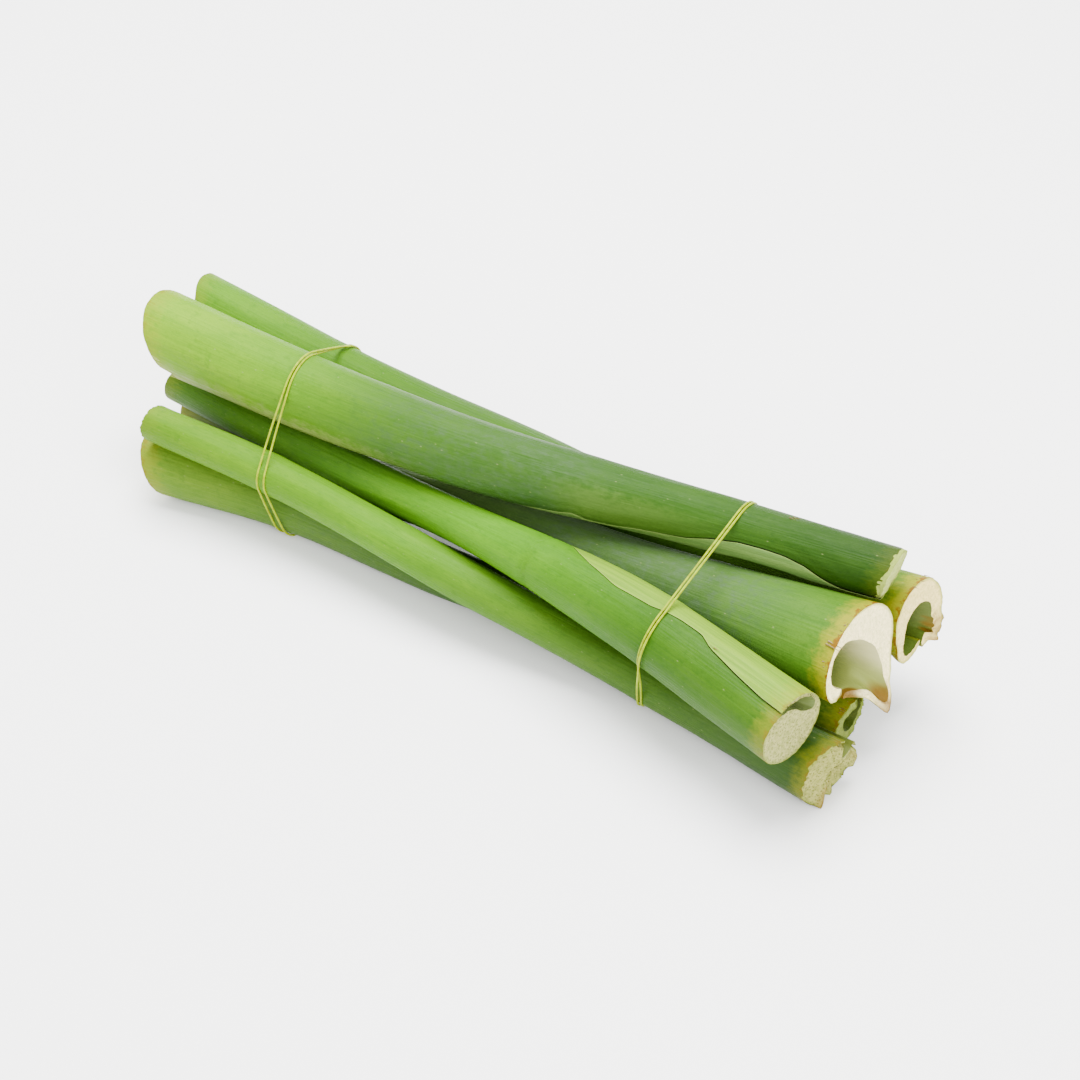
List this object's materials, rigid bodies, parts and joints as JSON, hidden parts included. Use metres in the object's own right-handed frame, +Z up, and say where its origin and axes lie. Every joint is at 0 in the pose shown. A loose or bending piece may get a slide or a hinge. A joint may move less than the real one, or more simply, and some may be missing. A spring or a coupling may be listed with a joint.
{
  "type": "bundle of elephant ear stalks",
  "caption": "Cut elephant ear stalks lying in a tied bundle, thick open sheath ends together, held by thin rubber bands.",
  "frame": {"origin": "middle of the bundle's length and width, on the surface it lies on", "axes": "+X along the bundle towards the thick open cut ends, +Y towards the back of the bundle, +Z up"},
  "size_m": [0.4265, 0.1328, 0.0958],
  "materials": {
    "green_stalk": "smooth waxy green plant skin with fine lengthwise veins and cream spongy flesh at the cuts",
    "pale_stalk": "smooth waxy plant skin, pale yellow-green towards one end, greyer with bloom along the middle",
    "yellow_rubber": "thin greenish yellow rubber band, slightly glossy"
  },
  "bodies": {
    "root": {"stalk_back": "green_stalk", "stalk_top": "pale_stalk", "stalk_front": "green_stalk", "stalk_low_front": "green_stalk", "stalk_bottom": "green_stalk", "stalk_middle": "green_stalk", "rubber_band_left": "yellow_rubber", "rubber_band_right": "yellow_rubber"}
  },
  "joints": []
}
